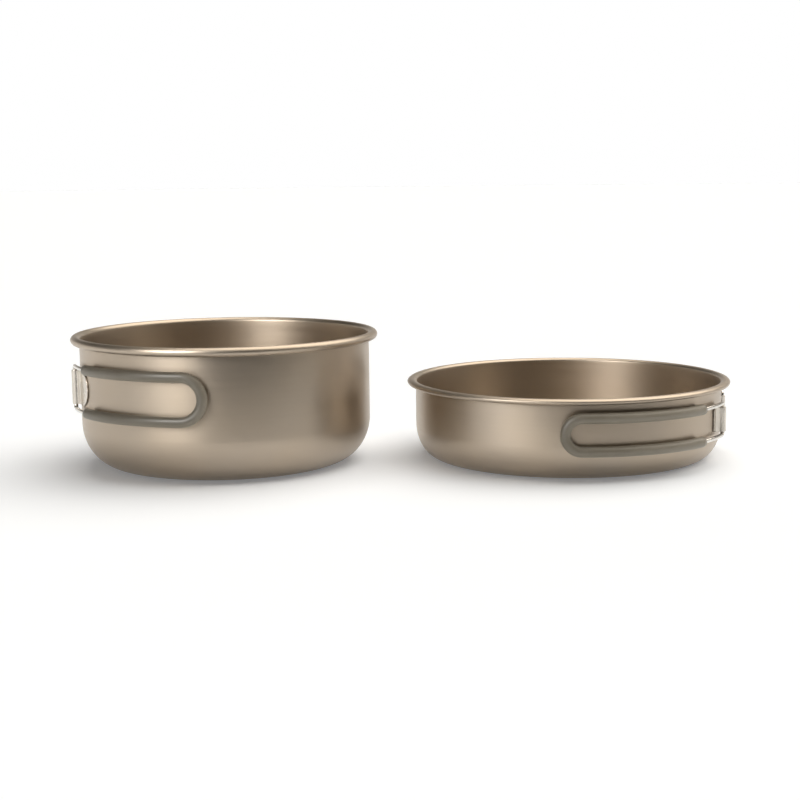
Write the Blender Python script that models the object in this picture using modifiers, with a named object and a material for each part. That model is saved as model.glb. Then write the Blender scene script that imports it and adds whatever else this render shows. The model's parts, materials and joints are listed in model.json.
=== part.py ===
"""Camping cook set: a deep pot and a shallow pan in thin titanium, each with a folding butterfly handle.

Each vessel is one drawn sheet with an open rolled rim. A stamped steel bracket is welded to its wall.
The bracket's two U-shaped channels hold the ends of two wire loops, each with a soft sleeve. A loop
folds round the wall and swings out about the vertical line of its own two pins.

Lengths are in metres, +Z is up, and the origin is the centre of the pot's base.
"""

from math import asin, ceil, cos, pi, radians, sin
from types import SimpleNamespace

import bmesh
import bpy
from mathutils import Matrix, Vector

MM = 0.001

# Sheet, wire and sleeve, the same on both vessels
SHEET = 0.5 * MM
WIRE_RADIUS = 1.0 * MM
SLEEVE_RADIUS = 2.45 * MM
SLEEVE_WALL = 1.2 * MM

# A folded loop keeps this distance from its centre line to the vessel's wall, and climbs a little from
# its pins to its free end. It bends away from its pins just clear of the bracket. Angles are counted
# about the vessel's axis from the middle of the bracket.
WIRE_TO_WALL = 2.8 * MM
LOOP_RISE = 0.6 * MM
LOOP_END = radians(85.7)
SLEEVE_START = radians(31.7)
BEND_GAP = 0.1 * MM

# Bracket, the same on both vessels
PLATE = 0.45 * MM
PLATE_GAP = 0.2 * MM
PIN_SPACING = 36.8 * MM
PIN_LENGTH = 6.0 * MM
CHANNEL_RADIUS = WIRE_RADIUS + 0.15 * MM
RAMP_HEIGHT = 1.3 * MM
RAMP_ANGLE = radians(2.2)

# The plate is bent from a blank that is larger all round, and then trimmed to its outline
BLANK_MARGIN = 2 * MM
BLANK_OVERRUN = radians(2)

# The two vessels stand side by side on +X
VESSEL_SPACING = 165.65 * MM

# heading is the way the bracket faces, seen from above; front_side is the way round the wall, +1 for
# counter-clockwise, that leads from the bracket to the front (-Y)
POT = SimpleNamespace(
    name="pot",
    centre_x=0.0,
    heading=radians(179.5),
    front_side=1,
    rim_radius=73.2 * MM,
    wall_radius=69.1 * MM,
    height=62.6 * MM,
    lip_height=4.0 * MM,
    corner_run=18.0 * MM,
    corner_rise=21.0 * MM,
    handle_height=39.2 * MM,
    loop_height=20.0 * MM,
    bracket_height=16.0 * MM,
    bracket_reach=32.5 * MM,
    bracket_corner=7.8 * MM,
)
PAN = SimpleNamespace(
    name="pan",
    centre_x=VESSEL_SPACING,
    heading=radians(-13.4),
    front_side=-1,
    rim_radius=78.0 * MM,
    wall_radius=73.9 * MM,
    height=37.8 * MM,
    lip_height=2.8 * MM,
    corner_run=10.8 * MM,
    corner_rise=16.2 * MM,
    handle_height=21.2 * MM,
    loop_height=15.0 * MM,
    bracket_height=11.6 * MM,
    bracket_reach=23.8 * MM,
    bracket_corner=1.2 * MM,
)

# Resolution and display
SMOOTH_ANGLE = radians(35)
EMPTY_SIZE = 10 * MM
TURN_STEPS = 48
CORNER_STEPS = 7
CURL_STEPS = 10
CURL_ANGLE = radians(300)
ARC_STEP = radians(6)
BEND_STEPS = 4
HALF_LOOP_STEPS = 8
CHANNEL_STEPS = 8
WIRE_BEVEL = 2
SLEEVE_BEVEL = 3
WELD = 0.01 * MM

# Materials: colour, roughness, metallic
TITANIUM = ("titanium", (0.46, 0.40, 0.33), 0.38, 1.0)
STEEL = ("stainless_steel", (0.68, 0.65, 0.60), 0.28, 1.0)
SILICONE = ("silicone", (0.17, 0.155, 0.135), 0.55, 0.0)


def clear_scene():
    for obj in list(bpy.data.objects):
        bpy.data.objects.remove(obj, do_unlink=True)


def add_collection(name):
    collection = bpy.data.collections.new(name)
    bpy.context.scene.collection.children.link(collection)
    return collection


def add_material(name, colour, roughness, metallic):
    material = bpy.data.materials.new(name)
    material.use_nodes = True
    shader = material.node_tree.nodes["Principled BSDF"]
    shader.inputs["Base Color"].default_value = (*colour, 1.0)
    shader.inputs["Roughness"].default_value = roughness
    shader.inputs["Metallic"].default_value = metallic
    return material


def add_empty(name, parent, location, heading, collection):
    empty = bpy.data.objects.new(name, None)
    empty.empty_display_size = EMPTY_SIZE
    empty.location = location
    empty.rotation_euler.z = heading
    empty.parent = parent
    collection.objects.link(empty)
    return empty


def add_object(name, data, parent, collection):
    obj = bpy.data.objects.new(name, data)
    obj.parent = parent
    collection.objects.link(obj)
    return obj


def curve_to_mesh(curve_object, collection):
    """Replace a curve object with a mesh object of the same name and place, its caps welded on."""
    bpy.context.view_layer.update()
    evaluated = curve_object.evaluated_get(bpy.context.evaluated_depsgraph_get())
    mesh = bpy.data.meshes.new_from_object(evaluated)
    shape = bmesh.new()
    shape.from_mesh(mesh)
    bmesh.ops.remove_doubles(shape, verts=shape.verts, dist=WELD)
    shape.to_mesh(mesh)
    shape.free()
    name = curve_object.name
    parent = curve_object.parent
    place = curve_object.matrix_world.copy()
    bpy.data.objects.remove(curve_object, do_unlink=True)
    obj = add_object(name, mesh, parent, collection)
    bpy.context.view_layer.update()
    obj.matrix_world = place
    return obj


def add_path(name, points, radius, bevel, caps, parent, collection):
    """A round bar or tube along a list of points, as a mesh."""
    curve = bpy.data.curves.new(name, "CURVE")
    curve.dimensions = "3D"
    curve.bevel_depth = radius
    curve.bevel_resolution = bevel
    curve.use_fill_caps = caps
    spline = curve.splines.new("POLY")
    spline.points.add(len(points) - 1)
    for control, point in zip(spline.points, points):
        control.co = (*point, 1.0)
    return curve_to_mesh(add_object(name, curve, parent, collection), collection)


def add_plate(name, outline, thickness, parent, collection):
    """A flat outline in XY, extruded evenly about its own plane, as a mesh."""
    curve = bpy.data.curves.new(name, "CURVE")
    curve.dimensions = "2D"
    curve.fill_mode = "BOTH"
    curve.extrude = thickness / 2
    spline = curve.splines.new("POLY")
    spline.points.add(len(outline) - 1)
    for control, (x, y) in zip(spline.points, outline):
        control.co = (x, y, 0.0, 1.0)
    spline.use_cyclic_u = True
    return curve_to_mesh(add_object(name, curve, parent, collection), collection)


def finish(obj, material):
    obj.data.materials.clear()
    obj.data.materials.append(material)
    obj.data.shade_smooth()
    obj.data.set_sharp_from_angle(angle=SMOOTH_ANGLE)


def polar(radius, angle):
    return radius * cos(angle), radius * sin(angle)


def arc_angles(start, end):
    """Evenly spaced angles from start to end, both included, about ARC_STEP apart."""
    count = max(1, ceil(abs(end - start) / ARC_STEP))
    return [start + (end - start) * i / count for i in range(count + 1)]


# The vessel


def corner_curve(vessel, wall, floor):
    """The rounded corner from the flat base up to the wall: a quarter of an ellipse."""
    flat_radius = vessel.wall_radius - vessel.corner_run
    points = []
    for i in range(CORNER_STEPS + 1):
        angle = pi / 2 * i / CORNER_STEPS
        radius = flat_radius + (wall - flat_radius) * sin(angle)
        rise = (vessel.corner_rise - floor) * (1 - cos(angle))
        points.append((radius, floor + rise))
    return points


def curl_curve(vessel, inset):
    """The rolled rim in section, from the wall over the top and round to its free edge."""
    half_width = (vessel.rim_radius - vessel.wall_radius + SHEET) / 2
    half_height = vessel.lip_height / 2
    centre_radius = vessel.rim_radius - half_width
    centre_height = vessel.height - half_height
    points = []
    for i in range(CURL_STEPS + 1):
        angle = pi - CURL_ANGLE * i / CURL_STEPS
        x = centre_radius + (half_width - inset) * cos(angle)
        z = centre_height + (half_height - inset) * sin(angle)
        points.append((x, z))
    return points


def vessel_profile(vessel):
    """From the inside floor up the inner face, over the curl and back down the outer face."""
    inner = [(0.0, SHEET)]
    inner += corner_curve(vessel, vessel.wall_radius - SHEET, SHEET)
    inner += curl_curve(vessel, 0.0)
    outer = curl_curve(vessel, SHEET)[::-1]
    outer += corner_curve(vessel, vessel.wall_radius, 0.0)[::-1]
    outer += [(0.0, 0.0)]
    return inner + outer


def add_body(vessel, frame, material, collection):
    name = vessel.name + "_body"
    points = vessel_profile(vessel)
    mesh = bpy.data.meshes.new(name)
    edges = [(i, i + 1) for i in range(len(points) - 1)]
    mesh.from_pydata([(x, 0.0, z) for x, z in points], edges, [])
    body = add_object(name, mesh, frame, collection)
    finish(body, material)
    turn = body.modifiers.new("Turn", "SCREW")
    turn.axis = "Z"
    turn.angle = 2 * pi
    turn.steps = TURN_STEPS
    turn.render_steps = TURN_STEPS
    turn.use_merge_vertices = True
    turn.merge_threshold = WELD
    turn.use_smooth_shade = True


# The bracket


def pin_circle(vessel):
    """Radius, from the vessel's axis, of the folded loop and of the line that its pins turn about."""
    return vessel.wall_radius + WIRE_TO_WALL


def pin_angle(vessel):
    return asin(PIN_SPACING / 2 / pin_circle(vessel))


def channel_curve(vessel, angle, foot, radius):
    """U-shaped channel over one pin, in plan, up from the foot circle and back down to it."""
    centre = Vector(polar(pin_circle(vessel), angle))
    outward = Vector(polar(1.0, angle))
    along = Vector(polar(1.0, angle + pi / 2))
    depth = pin_circle(vessel) - (foot * foot - radius * radius) ** 0.5
    points = [centre - radius * along - depth * outward]
    for i in range(CHANNEL_STEPS + 1):
        turn = pi * (i / CHANNEL_STEPS - 0.5)
        points.append(centre + radius * (cos(turn) * outward + sin(turn) * along))
    points.append(centre + radius * along - depth * outward)
    return [tuple(point) for point in points]


def plate_face(vessel, seat, radius):
    """One face of the stamped plate, in plan: it ramps up from the wall to the foot of each channel."""
    end = asin(vessel.bracket_reach / vessel.wall_radius) + BLANK_OVERRUN
    pin = pin_angle(vessel)
    foot = seat + RAMP_HEIGHT
    half_ramp = asin(radius / foot) + RAMP_ANGLE
    points = [polar(seat, a) for a in arc_angles(-end, -pin - half_ramp)]
    points += channel_curve(vessel, -pin, foot, radius)
    points += [polar(seat, a) for a in arc_angles(-pin + half_ramp, pin - half_ramp)]
    points += channel_curve(vessel, pin, foot, radius)
    points += [polar(seat, a) for a in arc_angles(pin + half_ramp, end)]
    return points


def rounded_rectangle(half_width, half_height, corner):
    """Outline of a rectangle with round corners, counter-clockwise."""
    points = []
    for quarter in range(4):
        sign_x = 1 if quarter in (0, 3) else -1
        sign_y = 1 if quarter in (0, 1) else -1
        for i in range(BEND_STEPS + 1):
            angle = pi / 2 * (quarter + i / BEND_STEPS)
            x = sign_x * (half_width - corner) + corner * cos(angle)
            y = sign_y * (half_height - corner) + corner * sin(angle)
            points.append((x, y))
    return points


def add_bracket(vessel, frame, material, collection, cutters):
    inner_seat = vessel.wall_radius + PLATE_GAP
    inner = plate_face(vessel, inner_seat, CHANNEL_RADIUS)
    outer = plate_face(vessel, inner_seat + PLATE, CHANNEL_RADIUS + PLATE)
    blank_height = vessel.bracket_height + 2 * BLANK_MARGIN
    name = vessel.name + "_bracket"
    bracket = add_plate(name, inner + outer[::-1], blank_height, frame, collection)
    raise_to_handle = Matrix.Translation((0, 0, vessel.handle_height))
    bracket.matrix_world = bracket.matrix_world @ raise_to_handle

    half_height = vessel.bracket_height / 2
    outline = rounded_rectangle(vessel.bracket_reach, half_height, vessel.bracket_corner)
    depth = 4 * vessel.wall_radius
    trim = add_plate(vessel.name + "_bracket_trim", outline, depth, frame, cutters)
    face_outwards = Matrix(((0, 0, 1, 0), (1, 0, 0, 0), (0, 1, 0, 0), (0, 0, 0, 1)))
    trim.matrix_world = trim.matrix_world @ raise_to_handle @ face_outwards
    trim.hide_render = True
    trim.display_type = "WIRE"

    cut = bracket.modifiers.new("Trim to outline", "BOOLEAN")
    cut.operation = "INTERSECT"
    cut.object = trim
    finish(bracket, material)


# The handles


def loop_point(vessel, angle, height):
    start = pin_angle(vessel)
    climb = LOOP_RISE * (angle - start) / (LOOP_END - start)
    return Vector((*polar(pin_circle(vessel), angle), height + climb))


def sleeved_path(vessel):
    """Centre line inside the sleeve: out along the top, round the half loop, back along the bottom."""
    half = vessel.loop_height / 2
    radius = pin_circle(vessel)
    turn_angle = LOOP_END - half / radius
    run = arc_angles(SLEEVE_START, turn_angle)
    top = [loop_point(vessel, a, half) for a in run]
    end = []
    for i in range(1, HALF_LOOP_STEPS):
        turn = pi * i / HALF_LOOP_STEPS
        end.append(loop_point(vessel, turn_angle + half * sin(turn) / radius, half * cos(turn)))
    bottom = [loop_point(vessel, a, -half) for a in reversed(run)]
    return top + end + bottom


def bare_path(vessel, way):
    """Centre line of one bare end, upper (+1) or lower (-1): out from the pin's tip, round the bend
    and along to the sleeve."""
    half = vessel.loop_height / 2
    channel_top = vessel.bracket_height / 2
    bend = half - channel_top - BEND_GAP
    pin = pin_angle(vessel)
    radius = pin_circle(vessel)
    points = [loop_point(vessel, pin, way * (channel_top - PIN_LENGTH))]
    for i in range(BEND_STEPS + 1):
        turn = pi / 2 * i / BEND_STEPS
        forward = bend * (1 - cos(turn)) / radius
        points.append(loop_point(vessel, pin + forward, way * (half - bend + bend * sin(turn))))
    run = arc_angles(pin + bend / radius, SLEEVE_START)
    points += [loop_point(vessel, a, way * half) for a in run[1:-1]]
    return points


def add_handle(vessel, position, side, frame, wire_material, sleeve_material, collection):
    """One loop, built about its pivot, which is the line of its pins."""
    pin = polar(pin_circle(vessel), side * pin_angle(vessel))
    origin = Vector((*pin, vessel.handle_height))
    name = vessel.name + "_" + position
    pivot = add_empty(name + "_pivot", frame, origin, 0.0, collection)

    def from_pivot(points):
        return [Vector((p.x - pin[0], side * p.y - pin[1], p.z)) for p in points]

    upper = bare_path(vessel, 1)
    middle = sleeved_path(vessel)
    lower = bare_path(vessel, -1)[::-1]
    wire_name = name + "_handle_wire"
    wire_points = from_pivot(upper + middle + lower)
    wire = add_path(wire_name, wire_points, WIRE_RADIUS, WIRE_BEVEL, True, pivot, collection)
    finish(wire, wire_material)

    sleeve_name = name + "_handle_sleeve"
    sleeve_points = from_pivot(middle)
    sleeve = add_path(sleeve_name, sleeve_points, SLEEVE_RADIUS, SLEEVE_BEVEL, False, pivot, collection)
    hollow = sleeve.modifiers.new("Wall", "SOLIDIFY")
    hollow.thickness = SLEEVE_WALL
    hollow.offset = -1.0
    finish(sleeve, sleeve_material)


def add_vessel(vessel, materials, collection, cutters):
    titanium, steel, silicone = materials
    place = Vector((vessel.centre_x, 0.0, 0.0))
    frame = add_empty(vessel.name + "_frame", None, place, vessel.heading, collection)
    add_body(vessel, frame, titanium, collection)
    add_bracket(vessel, frame, steel, collection, cutters)
    for position, side in (("front", vessel.front_side), ("rear", -vessel.front_side)):
        add_handle(vessel, position, side, frame, steel, silicone, collection)


def main():
    clear_scene()
    collection = add_collection("camping_cook_set")
    cutters = add_collection("cutters")
    materials = [add_material(*values) for values in (TITANIUM, STEEL, SILICONE)]
    for vessel in (POT, PAN):
        add_vessel(vessel, materials, collection, cutters)


main()
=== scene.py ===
"""Looks of the camping cook set: a fine surface for each piece, its materials, and a plain studio.

Every piece stands for the CAD node of the same name. Lengths are in metres and +Z is up. A vessel's own
axes have their origin at the centre of its base and +X towards the middle of its bracket.
"""

import json
from math import asin, ceil, cos, exp, hypot, pi, radians, sin
from types import SimpleNamespace

import bmesh
import bpy
from mathutils import Matrix, Vector


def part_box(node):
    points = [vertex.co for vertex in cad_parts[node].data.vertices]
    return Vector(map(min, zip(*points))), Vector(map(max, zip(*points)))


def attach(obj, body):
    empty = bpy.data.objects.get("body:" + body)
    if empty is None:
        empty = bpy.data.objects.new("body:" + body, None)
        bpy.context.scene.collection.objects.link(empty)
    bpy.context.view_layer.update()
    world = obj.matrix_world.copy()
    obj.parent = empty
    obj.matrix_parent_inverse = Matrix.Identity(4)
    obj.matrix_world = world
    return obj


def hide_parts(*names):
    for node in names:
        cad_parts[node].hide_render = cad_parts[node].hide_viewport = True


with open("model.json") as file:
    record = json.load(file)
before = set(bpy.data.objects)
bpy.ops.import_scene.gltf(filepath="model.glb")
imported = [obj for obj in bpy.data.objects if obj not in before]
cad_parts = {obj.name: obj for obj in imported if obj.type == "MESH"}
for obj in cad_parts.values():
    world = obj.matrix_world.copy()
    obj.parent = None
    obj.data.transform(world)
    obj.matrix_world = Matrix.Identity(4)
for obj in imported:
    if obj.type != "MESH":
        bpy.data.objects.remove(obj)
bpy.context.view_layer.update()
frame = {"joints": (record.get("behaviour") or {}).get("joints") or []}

MM = 0.001

# Sheet, wire and sleeve, the same on both vessels
SHEET = 0.5 * MM
WIRE_RADIUS = 1.0 * MM
SLEEVE_RADIUS = 2.45 * MM
SLEEVE_BORE = 1.04 * MM
WIRE_EDGE = 0.3 * MM
SLEEVE_EDGE = 0.5 * MM

# A folded loop climbs a little from its pins to its free end. Angles are counted about the vessel's axis
# from the middle of the bracket.
LOOP_RISE = 0.6 * MM
LOOP_END = radians(85.7)
SLEEVE_START = radians(31.7)
PIN_LENGTH = 6.0 * MM
BEND_GAP = 0.1 * MM

# Bracket plate: its thickness, its gap to the wall, its ramps and channels, and its spot welds
PLATE = 0.45 * MM
PLATE_GAP = 0.2 * MM
PLATE_EDGE = 0.14 * MM
CHANNEL_RADIUS = WIRE_RADIUS + 0.15 * MM
RAMP_HEIGHT = 1.3 * MM
RAMP_ANGLE = radians(2.2)
PLATE_STEP = 0.16 * MM
PLATE_SOFTENING = 10
WELD_RADIUS = 1.2 * MM
WELD_DEPTH = 0.18 * MM
WELD_SPREAD = 8.0 * MM
WELD_FALLOFF = 4

# The heights of the welds' two rows, as parts of the plate's height, counted from its middle
WELD_ROWS = (0.25, -0.25)

# The part of PLATE_EDGE that the rounding of the plate's two ends takes off its faces
END_ROUNDING = 0.99

# Resolution
TURN_STEPS = 256
CORNER_STEPS = 40
WALL_STEPS = 24
FLOOR_STEPS = 12
CURL_STEPS = 48
CURL_ANGLE = radians(300)
EDGE_STEPS = 4
ARC_STEP = radians(1)
BEND_STEPS = 12
HALF_LOOP_STEPS = 64
WIRE_SIDES = 24
SLEEVE_SIDES = 40
PLATE_ROWS = 40

# front_side is the way round the wall, +1 for counter-clockwise, from the bracket to the front
POT = SimpleNamespace(
    name="pot",
    front_side=1,
    wall_radius=69.1 * MM,
    lip_height=4.0 * MM,
    corner_run=18.0 * MM,
    corner_rise=21.0 * MM,
    loop_height=20.0 * MM,
    bracket_height=16.0 * MM,
    bracket_reach=32.5 * MM,
    bracket_corner=7.8 * MM,
)
PAN = SimpleNamespace(
    name="pan",
    front_side=-1,
    wall_radius=73.9 * MM,
    lip_height=2.8 * MM,
    corner_run=10.8 * MM,
    corner_rise=16.2 * MM,
    loop_height=15.0 * MM,
    bracket_height=11.6 * MM,
    bracket_reach=23.8 * MM,
    bracket_corner=1.2 * MM,
)

# Camera
CAMERA_PLACE = Vector((51.9, -750.0, 139.5)) * MM
CAMERA_PITCH = radians(8.48)
CAMERA_YAW = radians(2.44)
CAMERA_ROLL = radians(-0.63)
CAMERA_LENS = 70.14
CAMERA_SENSOR = 36.0

# Studio
SKY_RADIUS = 11.0
SKY_SEGMENTS = 48
FLOOR_REACH = 12.0
FLOOR_DROP = 0.2 * MM
WORLD_COLOUR = (1, 0.965, 0.915, 1)

# Metal and silicone colours
TITANIUM = (0.468, 0.39, 0.303, 1)
TITANIUM_CLOUD = (0.453, 0.385, 0.311, 1)
TITANIUM_WORN = (0.508, 0.428, 0.338, 1)
WIRE_STEEL = (0.76, 0.73, 0.68)
PLATE_STEEL = (0.72, 0.67, 0.60)
SMUDGED = 0.86
SILICONE = (0.212, 0.186, 0.14, 1)
SILICONE_BLOOM = (0.248, 0.22, 0.17, 1)


# The frame


def joint_place(name):
    joint = next(j for j in frame["joints"] if j["name"] == name)
    return Vector(joint["pos_m"])


def read_frame(vessel):
    """Take the vessel's place, heading, rim and pins from the CAD frame."""
    low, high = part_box(vessel.name + "_body")
    vessel.base = Vector(((low.x + high.x) / 2, (low.y + high.y) / 2, low.z))
    vessel.rim_radius = min(high.x - low.x, high.y - low.y) / 2
    vessel.height = high.z - low.z
    front = joint_place(vessel.name + "_front_handle_swing") - vessel.base
    rear = joint_place(vessel.name + "_rear_handle_swing") - vessel.base
    middle = front.xy + rear.xy
    vessel.heading = Vector((1.0, 0.0)).angle_signed(middle) * -1
    vessel.pin_circle = front.xy.length
    vessel.pin_angle = front.xy.angle(rear.xy) / 2
    vessel.handle_height = front.z
    vessel.turn = Matrix.Rotation(vessel.heading, 4, "Z")


# Mesh helpers


def polar(radius, angle):
    return radius * cos(angle), radius * sin(angle)


def steps(start, end, count):
    return [start + (end - start) * i / count for i in range(count + 1)]


def arc_angles(start, end):
    return steps(start, end, max(1, ceil(abs(end - start) / ARC_STEP)))


def skin(rings, closed=False):
    """Vertices and faces between successive rings of points. A ring of one point closes an end."""
    starts = []
    vertices = []
    for ring in rings:
        starts.append(len(vertices))
        vertices += ring
    pairs = [(i, i + 1) for i in range(len(rings) - 1)]
    if closed:
        pairs.append((len(rings) - 1, 0))
    faces = []
    for a, b in pairs:
        count = max(len(rings[a]), len(rings[b]))
        for i in range(count):
            j = (i + 1) % count
            corners = []
            for ring, k in ((a, i), (a, j), (b, j), (b, i)):
                corner = starts[ring] + (k if len(rings[ring]) > 1 else 0)
                if corner not in corners:
                    corners.append(corner)
            faces.append(corners)
    return vertices, faces


def add_piece(name, rings, closed, vessel, body, material):
    """A closed mesh from rings in the vessel's axes, riding on its body in place of its CAD node."""
    vertices, faces = skin(rings, closed)
    mesh = bpy.data.meshes.new(name)
    mesh.from_pydata(vertices, [], faces)
    mesh.transform(vessel.turn)
    shape = bmesh.new()
    shape.from_mesh(mesh)
    bmesh.ops.recalc_face_normals(shape, faces=shape.faces)
    shape.to_mesh(mesh)
    shape.free()
    mesh.shade_smooth()
    mesh.materials.append(material)
    piece = bpy.data.objects.new(name + "_surface", mesh)
    bpy.context.scene.collection.objects.link(piece)
    piece.location = vessel.base
    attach(piece, body)
    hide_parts(name)


# The vessel


def corner_curve(vessel, wall, floor):
    """The rounded corner from the flat base up to the wall: a quarter of an ellipse."""
    flat_radius = vessel.wall_radius - vessel.corner_run
    points = []
    for angle in steps(0, pi / 2, CORNER_STEPS):
        radius = flat_radius + (wall - flat_radius) * sin(angle)
        rise = (vessel.corner_rise - floor) * (1 - cos(angle))
        points.append((radius, floor + rise))
    return points


def curl_curve(vessel, inset):
    """The rolled rim in section, from the wall over the top and round to its free edge."""
    half_width = (vessel.rim_radius - vessel.wall_radius + SHEET) / 2
    half_height = vessel.lip_height / 2
    centre_radius = vessel.rim_radius - half_width
    centre_height = vessel.height - half_height
    points = []
    for angle in steps(pi, pi - CURL_ANGLE, CURL_STEPS):
        x = centre_radius + (half_width - inset) * cos(angle)
        z = centre_height + (half_height - inset) * sin(angle)
        points.append((x, z))
    return points


def between(start, end, count):
    """Points strictly between two points."""
    inner = steps(0, 1, count)[1:-1]
    return [tuple(a + (b - a) * t for a, b in zip(start, end)) for t in inner]


def rounded_end(outer, inner, ahead):
    """Half a circle from one face of the sheet to the other, round its free edge."""
    centre = (Vector(outer) + Vector(inner)) / 2
    across = Vector(outer) - centre
    forward = (Vector(outer) - Vector(ahead)).normalized() * across.length
    turns = steps(0, pi, 2 * EDGE_STEPS)[1:-1]
    return [tuple(centre + across * cos(t) + forward * sin(t)) for t in turns]


def vessel_profile(vessel):
    """From the inside floor up the inner face, over the curl and back down the outer face."""
    inner_corner = corner_curve(vessel, vessel.wall_radius - SHEET, SHEET)
    outer_corner = corner_curve(vessel, vessel.wall_radius, 0.0)[::-1]
    outside_curl = curl_curve(vessel, 0.0)
    inside_curl = curl_curve(vessel, SHEET)[::-1]
    profile = [(0.0, SHEET)]
    profile += between(profile[-1], inner_corner[0], FLOOR_STEPS)
    profile += inner_corner
    profile += between(inner_corner[-1], outside_curl[0], WALL_STEPS)
    profile += outside_curl
    profile += rounded_end(outside_curl[-1], inside_curl[0], outside_curl[-2])
    profile += inside_curl
    profile += between(inside_curl[-1], outer_corner[0], WALL_STEPS)
    profile += outer_corner
    profile += between(outer_corner[-1], (0.0, 0.0), FLOOR_STEPS)
    profile += [(0.0, 0.0)]
    return profile


def add_body(vessel, material):
    rings = []
    for radius, z in vessel_profile(vessel):
        if radius == 0:
            rings.append([(0.0, 0.0, z)])
        else:
            turns = steps(0, 2 * pi, TURN_STEPS)[:-1]
            rings.append([(*polar(radius, turn), z) for turn in turns])
    add_piece(vessel.name + "_body", rings, False, vessel, vessel.name, material)


# The bracket


def channel_curve(vessel, angle, foot, radius):
    """U-shaped channel over one pin, in plan, up from the foot circle and back down to it."""
    centre = Vector(polar(vessel.pin_circle, angle))
    outward = Vector(polar(1.0, angle))
    along = Vector(polar(1.0, angle + pi / 2))
    depth = vessel.pin_circle - (foot * foot - radius * radius) ** 0.5
    points = [centre - radius * along - depth * outward]
    for turn in steps(-pi / 2, pi / 2, BEND_STEPS):
        points.append(centre + radius * (cos(turn) * outward + sin(turn) * along))
    points.append(centre + radius * along - depth * outward)
    return points


def plate_curve(vessel):
    """Middle line of the stamped plate, in plan, from one end to the other."""
    seat = vessel.wall_radius + PLATE_GAP + PLATE / 2
    radius = CHANNEL_RADIUS + PLATE / 2
    foot = seat + RAMP_HEIGHT
    end = asin((vessel.bracket_reach - PLATE_EDGE) / vessel.wall_radius)
    half_ramp = asin(radius / foot) + RAMP_ANGLE
    pin = vessel.pin_angle
    points = [Vector(polar(seat, a)) for a in arc_angles(-end, -pin - half_ramp)]
    points += channel_curve(vessel, -pin, foot, radius)
    points += [Vector(polar(seat, a)) for a in arc_angles(-pin + half_ramp, pin - half_ramp)]
    points += channel_curve(vessel, pin, foot, radius)
    points += [Vector(polar(seat, a)) for a in arc_angles(pin + half_ramp, end)]
    return points


def evenly_spaced(points, spacing):
    """The same line with its points about one spacing apart."""
    spaced = [points[0]]
    for start, end in zip(points, points[1:]):
        count = max(1, round((end - start).length / spacing))
        spaced += [start.lerp(end, i / count) for i in range(1, count + 1)]
    return spaced


def softened(points, passes):
    """The line with its corners eased, its two ends kept."""
    for _ in range(passes):
        middle = [(a + 2 * b + c) / 4 for a, b, c in zip(points, points[1:], points[2:])]
        points = [points[0], *middle, points[-1]]
    return points


def half_height_at(vessel, y):
    """Half the height of the plate at a distance from its middle: a rectangle with round corners."""
    corner = vessel.bracket_corner
    past = abs(y) - (vessel.bracket_reach - corner)
    full = vessel.bracket_height / 2
    if past <= 0:
        return full
    return full - corner + max(corner * corner - past * past, 0.0) ** 0.5


def weld_dent(y, z, rows):
    """Depth of the spot welds' dimples at a point of the plate's outer face."""
    dent = 0.0
    for weld_y in (-WELD_SPREAD, 0.0, WELD_SPREAD):
        for weld_z in rows:
            distance = hypot(y - weld_y, z - weld_z) / WELD_RADIUS
            dent += WELD_DEPTH * exp(-(distance ** WELD_FALLOFF))
    return dent


def plate_section(vessel, point, normal, half_height, half_thickness, rows):
    """Section of the plate at one point of its middle line: a thin rectangle with round corners."""
    edge = min(PLATE_EDGE, half_thickness, half_height)
    ring = []

    def add(offset, z, dent=0.0):
        place = point + normal * (offset - dent)
        ring.append((place.x, place.y, vessel.handle_height + z))

    for quarter, (side, end) in enumerate(((1, 1), (-1, 1), (-1, -1), (1, -1))):
        for i in range(EDGE_STEPS + 1):
            angle = pi / 2 * (quarter + i / EDGE_STEPS)
            x = side * (half_thickness - edge) + edge * cos(angle)
            z = end * (half_height - edge) + edge * sin(angle)
            add(x, z)
        if end == 1 and side == -1:
            for z in steps(half_height - edge, edge - half_height, PLATE_ROWS)[1:-1]:
                add(-half_thickness, z)
        if end == -1 and side == 1:
            for z in steps(edge - half_height, half_height - edge, PLATE_ROWS)[1:-1]:
                add(half_thickness, z, weld_dent(point.y, z, rows))
    return ring


def middle_of(ring):
    return tuple(sum((Vector(p) for p in ring), Vector()) / len(ring))


def plate_end(vessel, point, along, normal, rows, way):
    """Sections that round off one end of the plate, way being -1 at its start and +1 at its end."""
    height = half_height_at(vessel, point.y)
    rings = []
    for angle in steps(0, pi / 2, EDGE_STEPS)[::way]:
        place = point + way * PLATE_EDGE * sin(angle) * along
        inset = PLATE_EDGE * (1 - cos(angle)) * END_ROUNDING
        thickness = PLATE / 2 - inset
        tall = max(height - inset, thickness)
        rings.append(plate_section(vessel, place, normal, tall, thickness, rows))
    return rings


def add_bracket(vessel, material):
    line = softened(evenly_spaced(plate_curve(vessel), PLATE_STEP), PLATE_SOFTENING)
    rows = [vessel.bracket_height * part for part in WELD_ROWS]
    last = len(line) - 1
    rings = []
    for i, point in enumerate(line):
        along = (line[min(i + 1, last)] - line[max(i - 1, 0)]).normalized()
        normal = Vector((along.y, -along.x))
        if i == 0:
            rings += plate_end(vessel, point, along, normal, rows, -1)
        elif i == last:
            rings += plate_end(vessel, point, along, normal, rows, 1)
        else:
            height = half_height_at(vessel, point.y)
            rings.append(plate_section(vessel, point, normal, height, PLATE / 2, rows))
    rings = [[middle_of(rings[0])], *rings, [middle_of(rings[-1])]]
    name = vessel.name + "_bracket"
    add_piece(name, rings, False, vessel, vessel.name, material)


# The handles


def loop_point(vessel, angle, height):
    climb = LOOP_RISE * (angle - vessel.pin_angle) / (LOOP_END - vessel.pin_angle)
    return Vector((*polar(vessel.pin_circle, angle), vessel.handle_height + height + climb))


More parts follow.
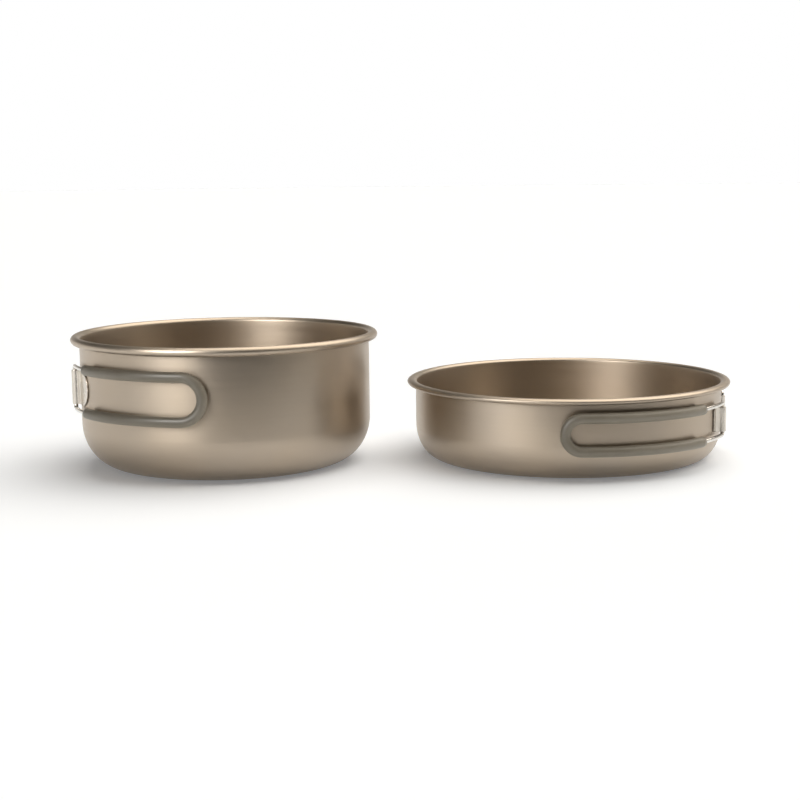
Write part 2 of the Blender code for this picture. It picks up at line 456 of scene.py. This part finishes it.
def sleeved_path(vessel):
    """Centre line inside the sleeve: out along the top, round the half loop, back along the bottom."""
    half = vessel.loop_height / 2
    radius = vessel.pin_circle
    turn_angle = LOOP_END - half / radius
    run = arc_angles(SLEEVE_START, turn_angle)
    top = [loop_point(vessel, a, half) for a in run]
    end = []
    for turn in steps(0, pi, HALF_LOOP_STEPS)[1:-1]:
        end.append(loop_point(vessel, turn_angle + half * sin(turn) / radius, half * cos(turn)))
    bottom = [loop_point(vessel, a, -half) for a in reversed(run)]
    return top + end + bottom


def bare_path(vessel, way):
    """Centre line of one bare end, upper (+1) or lower (-1): out from the pin's tip, round the bend
    and along to the sleeve."""
    half = vessel.loop_height / 2
    channel_top = vessel.bracket_height / 2
    bend = half - channel_top - BEND_GAP
    pin = vessel.pin_angle
    radius = vessel.pin_circle
    points = [loop_point(vessel, pin, way * (channel_top - PIN_LENGTH))]
    for turn in steps(0, pi / 2, BEND_STEPS):
        forward = bend * (1 - cos(turn)) / radius
        points.append(loop_point(vessel, pin + forward, way * (half - bend + bend * sin(turn))))
    run = arc_angles(pin + bend / radius, SLEEVE_START)[1:-1]
    points += [loop_point(vessel, a, way * half) for a in run]
    return points


def tube_rings(path, radius, edge, sides):
    """Rings of a round bar along a path on the vessel's pin circle, its two ends rounded off."""
    tangents = []
    for i in range(len(path)):
        ahead = path[min(i + 1, len(path) - 1)] - path[max(i - 1, 0)]
        tangents.append(ahead.normalized())

    def ring(centre, tangent, size):
        side = tangent.cross(Vector((centre.x, centre.y, 0.0))).normalized()
        up = side.cross(tangent)
        turns = steps(0, 2 * pi, sides)[:-1]
        return [tuple(centre + size * (cos(t) * up + sin(t) * side)) for t in turns]

    start = []
    end = []
    for turn in steps(0, pi / 2, EDGE_STEPS):
        inward = edge * (1 - sin(turn))
        size = radius - edge * (1 - cos(turn))
        start.insert(0, ring(path[0] + tangents[0] * (edge - inward), tangents[0], size))
        end.append(ring(path[-1] - tangents[-1] * (edge - inward), tangents[-1], size))
    middle = [ring(p, t, radius) for p, t in zip(path[1:-1], tangents[1:-1])]
    return start, middle, end


def add_handle(vessel, position, side, steel, silicone):
    mirror = Vector((1.0, side, 1.0))
    middle = [p * mirror for p in sleeved_path(vessel)]
    upper = [p * mirror for p in bare_path(vessel, 1)]
    lower = [p * mirror for p in bare_path(vessel, -1)[::-1]]
    body = f"{vessel.name}_{position}_handle"

    wire = upper + middle + lower
    start, rings, end = tube_rings(wire, WIRE_RADIUS, WIRE_EDGE, WIRE_SIDES)
    rings = [[tuple(wire[0])], *start, *rings, *end, [tuple(wire[-1])]]
    add_piece(body + "_wire", rings, False, vessel, body, steel)

    start, outside, end = tube_rings(middle, SLEEVE_RADIUS, SLEEVE_EDGE, SLEEVE_SIDES)
    inner_start, inside, inner_end = tube_rings(middle, SLEEVE_BORE, 0.0, SLEEVE_SIDES)
    rings = start + outside + end + [inner_end[-1]] + inside[::-1] + [inner_start[0]]
    add_piece(body + "_sleeve", rings, True, vessel, body, silicone)


# Materials


def add_node(tree, kind, inputs, **settings):
    """A shader node whose inputs are given as values, or as the sockets that feed them."""
    made = tree.nodes.new(kind)
    for key, value in settings.items():
        setattr(made, key, value)
    for key, value in inputs.items():
        if isinstance(value, bpy.types.NodeSocket):
            tree.links.new(value, made.inputs[key])
        else:
            made.inputs[key].default_value = value
    return made


def new_material(name, **values):
    material = bpy.data.materials.new(name)
    material.use_nodes = True
    tree = material.node_tree
    shader = tree.nodes["Principled BSDF"]
    for key, value in values.items():
        shader.inputs[key.replace("_", " ")].default_value = value
    return material, tree, shader


def math_node(tree, operation, a, b):
    return add_node(tree, "ShaderNodeMath", {0: a, 1: b}, operation=operation).outputs[0]


def noise(tree, vector, scale, detail=2.0):
    inputs = {"Vector": vector, "Scale": scale, "Detail": detail}
    return add_node(tree, "ShaderNodeTexNoise", inputs).outputs["Fac"]


def ranged(tree, value, span, result):
    """The value carried from one range to another, and held at the ends."""
    inputs = {"Value": value, "From Min": span[0], "From Max": span[1]}
    inputs |= {"To Min": result[0], "To Max": result[1]}
    return add_node(tree, "ShaderNodeMapRange", inputs).outputs["Result"]


def mixed(tree, factor, first, second):
    """A colour between two colours."""
    inputs = {"Factor": factor, 6: first, 7: second}
    return add_node(tree, "ShaderNodeMix", inputs, data_type="RGBA").outputs[2]


def bumped(tree, height, strength, distance, normal=None):
    inputs = {"Height": height, "Strength": strength, "Distance": distance}
    if normal is not None:
        inputs["Normal"] = normal
    return add_node(tree, "ShaderNodeBump", inputs).outputs["Normal"]


def turned_coordinates(tree, place, around, along):
    """Coordinates whose noise runs in rings about Z: stretched around, close together along the profile."""
    parts = add_node(tree, "ShaderNodeSeparateXYZ", {0: place}).outputs
    flat = add_node(tree, "ShaderNodeCombineXYZ", {0: parts[0], 1: parts[1]}).outputs[0]
    radius = add_node(tree, "ShaderNodeVectorMath", {0: flat}, operation="LENGTH").outputs["Value"]
    profile = math_node(tree, "ADD", radius, parts[2])
    inputs = {
        0: math_node(tree, "MULTIPLY", parts[0], around),
        1: math_node(tree, "MULTIPLY", parts[1], around),
        2: math_node(tree, "MULTIPLY", profile, along),
    }
    return add_node(tree, "ShaderNodeCombineXYZ", inputs).outputs[0], parts[2]


def titanium(vessel):
    """Bead-blasted titanium with faint turned rings, a slightly duller rim and an uneven warm tint."""
    material, tree, shader = new_material(
        vessel.name + "_titanium", Metallic=1.0, Anisotropic=0.35, Anisotropic_Rotation=0.25
    )
    place = add_node(tree, "ShaderNodeTexCoord", {}).outputs["Object"]
    rings, height = turned_coordinates(tree, place, around=18.0, along=900.0)
    ring_noise = noise(tree, rings, scale=1.0, detail=3.0)
    grain = noise(tree, place, scale=2600.0, detail=2.0)
    cloud = noise(tree, place, scale=28.0, detail=4.0)

    tint = mixed(tree, ranged(tree, cloud, (0.35, 0.65), (0.0, 1.0)), TITANIUM, TITANIUM_CLOUD)
    worn = mixed(tree, ranged(tree, ring_noise, (0.3, 0.7), (0.0, 0.25)), tint, TITANIUM_WORN)
    tree.links.new(worn, shader.inputs["Base Color"])

    satin = ranged(tree, ring_noise, (0.3, 0.7), (0.36, 0.41))
    lip_foot = vessel.height - 1.4 * vessel.lip_height
    lip_top = vessel.height - 0.6 * vessel.lip_height
    rim = ranged(tree, height, (lip_foot, lip_top), (0.0, 0.03))
    tree.links.new(math_node(tree, "ADD", satin, rim), shader.inputs["Roughness"])

    turned = bumped(tree, ring_noise, strength=0.06, distance=0.05 * MM)
    blasted = bumped(tree, grain, strength=0.2, distance=0.03 * MM, normal=turned)
    tree.links.new(blasted, shader.inputs["Normal"])
    tangent = add_node(tree, "ShaderNodeTangent", {}, direction_type="RADIAL", axis="Z")
    tree.links.new(tangent.outputs[0], shader.inputs["Tangent"])
    return material


def steel(name, roughness, colour):
    """Bright stainless steel with fine drawn scratches and handling marks."""
    material, tree, shader = new_material(name, Metallic=1.0)
    place = add_node(tree, "ShaderNodeTexCoord", {}).outputs["Object"]
    parts = add_node(tree, "ShaderNodeSeparateXYZ", {0: place}).outputs
    drawn_inputs = {0: parts[0], 1: parts[1], 2: math_node(tree, "MULTIPLY", parts[2], 0.08)}
    drawn = add_node(tree, "ShaderNodeCombineXYZ", drawn_inputs).outputs[0]
    scratches = noise(tree, drawn, scale=1400.0, detail=2.0)
    smudges = noise(tree, place, scale=120.0, detail=3.0)
    dull = tuple(SMUDGED * c for c in colour)
    tint = mixed(tree, ranged(tree, smudges, (0.35, 0.7), (0.0, 1.0)), (*colour, 1), (*dull, 1))
    tree.links.new(tint, shader.inputs["Base Color"])
    rough = ranged(tree, scratches, (0.3, 0.7), (roughness - 0.03, roughness + 0.04))
    tree.links.new(rough, shader.inputs["Roughness"])
    scratched = bumped(tree, scratches, strength=0.05, distance=0.01 * MM)
    tree.links.new(scratched, shader.inputs["Normal"])
    return material


def silicone_rubber():
    """Satin warm grey silicone with a fine moulded texture and a faint dusty bloom."""
    material, tree, shader = new_material("silicone_rubber", Specular_IOR_Level=0.5, Sheen_Weight=0.15)
    place = add_node(tree, "ShaderNodeTexCoord", {}).outputs["Object"]
    texture = noise(tree, place, scale=1800.0, detail=2.0)
    bloom = noise(tree, place, scale=90.0, detail=4.0)
    tint = mixed(tree, ranged(tree, bloom, (0.3, 0.7), (0.0, 1.0)), SILICONE, SILICONE_BLOOM)
    tree.links.new(tint, shader.inputs["Base Color"])
    tree.links.new(ranged(tree, bloom, (0.3, 0.7), (0.36, 0.48)), shader.inputs["Roughness"])
    moulded = bumped(tree, texture, strength=0.25, distance=0.03 * MM)
    tree.links.new(moulded, shader.inputs["Normal"])
    return material


# The studio


def add_camera():
    camera = bpy.data.objects.new("camera", bpy.data.cameras.new("camera"))
    camera.data.sensor_width = CAMERA_SENSOR
    camera.data.lens = CAMERA_LENS
    camera.data.clip_start = 0.01
    camera.data.clip_end = 50.0
    yaw = Matrix.Rotation(-CAMERA_YAW, 4, "Z")
    pitch = Matrix.Rotation(pi / 2 - CAMERA_PITCH, 4, "X")
    roll = Matrix.Rotation(CAMERA_ROLL, 4, "Z")
    camera.matrix_world = Matrix.Translation(CAMERA_PLACE) @ yaw @ pitch @ roll
    bpy.context.scene.collection.objects.link(camera)
    bpy.context.scene.camera = camera


def add_floor(name, height, colour, glow):
    """A pale ground that glows a little, which keeps the shadows on it light."""
    reach = FLOOR_REACH
    mesh = bpy.data.meshes.new(name)
    corners = [(-reach, -reach, 0), (reach, -reach, 0), (reach, reach, 0), (-reach, reach, 0)]
    mesh.from_pydata(corners, [], [(0, 1, 2, 3)])
    material, _, shader = new_material(name, Roughness=0.9, Specular_IOR_Level=0.1)
    shader.inputs["Base Color"].default_value = (*colour, 1)
    shader.inputs["Emission Color"].default_value = (*colour, 1)
    shader.inputs["Emission Strength"].default_value = glow
    mesh.materials.append(material)
    floor = bpy.data.objects.new(name, mesh)
    floor.location.z = height
    bpy.context.scene.collection.objects.link(floor)


def add_sun(name, strength, colour, spread, tilt, heading):
    light = bpy.data.lights.new(name, "SUN")
    light.color = colour
    light.energy = strength
    light.angle = spread
    sun = bpy.data.objects.new(name, light)
    sun.rotation_euler = (tilt, 0.0, heading)
    bpy.context.scene.collection.objects.link(sun)


def add_softbox(name, place, target, size, power, colour):
    light = bpy.data.lights.new(name, "AREA")
    light.color = colour
    light.shape = "RECTANGLE"
    light.size, light.size_y = size
    light.energy = power
    box = bpy.data.objects.new(name, light)
    box.location = place
    box.rotation_euler = (Vector(target) - Vector(place)).to_track_quat("-Z", "Y").to_euler()
    bpy.context.scene.collection.objects.link(box)
    return box


def add_card(name, low, high, depth, colour):
    """An upright dark card in front of the set, which only its reflections see."""
    mesh = bpy.data.meshes.new(name)
    bottom = [(low[0], depth, low[1]), (high[0], depth, low[1])]
    top = [(high[0], depth, high[1]), (low[0], depth, high[1])]
    mesh.from_pydata(bottom + top, [], [(0, 1, 2, 3)])
    material, _, shader = new_material(name, Roughness=1.0, Specular_IOR_Level=0.0)
    shader.inputs["Base Color"].default_value = (*colour, 1)
    mesh.materials.append(material)
    card = bpy.data.objects.new(name, mesh)
    bpy.context.scene.collection.objects.link(card)
    card.visible_camera = False
    card.visible_diffuse = False
    card.visible_shadow = False


def add_sky():
    """A white dome behind everything, which only the camera sees."""
    half = SKY_SEGMENTS // 2
    bpy.ops.mesh.primitive_uv_sphere_add(radius=SKY_RADIUS, segments=SKY_SEGMENTS, ring_count=half)
    sky = bpy.context.object
    sky.name = "sky"
    material, tree, _ = new_material("sky")
    light = add_node(tree, "ShaderNodeEmission", {"Color": (1, 1, 1, 1), "Strength": 1.0})
    tree.links.new(light.outputs[0], tree.nodes["Material Output"].inputs["Surface"])
    sky.data.materials.append(material)
    sky.visible_glossy = False
    sky.visible_diffuse = False
    sky.visible_shadow = False
    sky.visible_transmission = False


def add_world():
    """Soft room light: bright behind and beside the set, dim in front of it and overhead."""
    world = bpy.data.worlds.new("studio")
    world.use_nodes = True
    tree = world.node_tree
    direction = add_node(tree, "ShaderNodeTexCoord", {}).outputs["Generated"]
    parts = add_node(tree, "ShaderNodeSeparateXYZ", {0: direction}).outputs
    depth = ranged(tree, parts[1], (-0.75, 0.3), (0.12, 1.12))
    height = ranged(tree, parts[2], (0.0, 0.35), (1.0, 0.04))
    background = tree.nodes["Background"]
    tree.links.new(math_node(tree, "MULTIPLY", depth, height), background.inputs["Strength"])
    background.inputs["Color"].default_value = WORLD_COLOUR
    bpy.context.scene.world = world


def add_studio():
    add_world()
    add_sky()
    add_floor("floor", height=-FLOOR_DROP, colour=(0.87, 0.905, 0.955), glow=0.16)
    add_sun(
        "overhead", strength=3.4, colour=(1.0, 0.945, 0.865),
        spread=radians(80), tilt=radians(26), heading=radians(115),
    )
    key = add_softbox(
        "key", place=(-0.4, -0.54, 0.38), target=(0.08, 0.0, 0.03),
        size=(0.38, 0.46), power=5.4, colour=(0.99, 0.98, 0.97),
    )
    key.visible_diffuse = False
    add_card("dark_card", low=(-0.05, 0.004), high=(0.7, 0.15), depth=-0.2, colour=(0.05, 0.05, 0.05))
    bpy.context.scene.view_settings.view_transform = "Standard"


def main():
    wire = steel("bright_wire", 0.2, WIRE_STEEL)
    plate = steel("stamped_plate", 0.28, PLATE_STEEL)
    silicone = silicone_rubber()
    for vessel in (POT, PAN):
        read_frame(vessel)
        add_body(vessel, titanium(vessel))
        add_bracket(vessel, plate)
        for position, side in (("front", vessel.front_side), ("rear", -vessel.front_side)):
            add_handle(vessel, position, side, wire, silicone)
    add_camera()
    add_studio()


main()
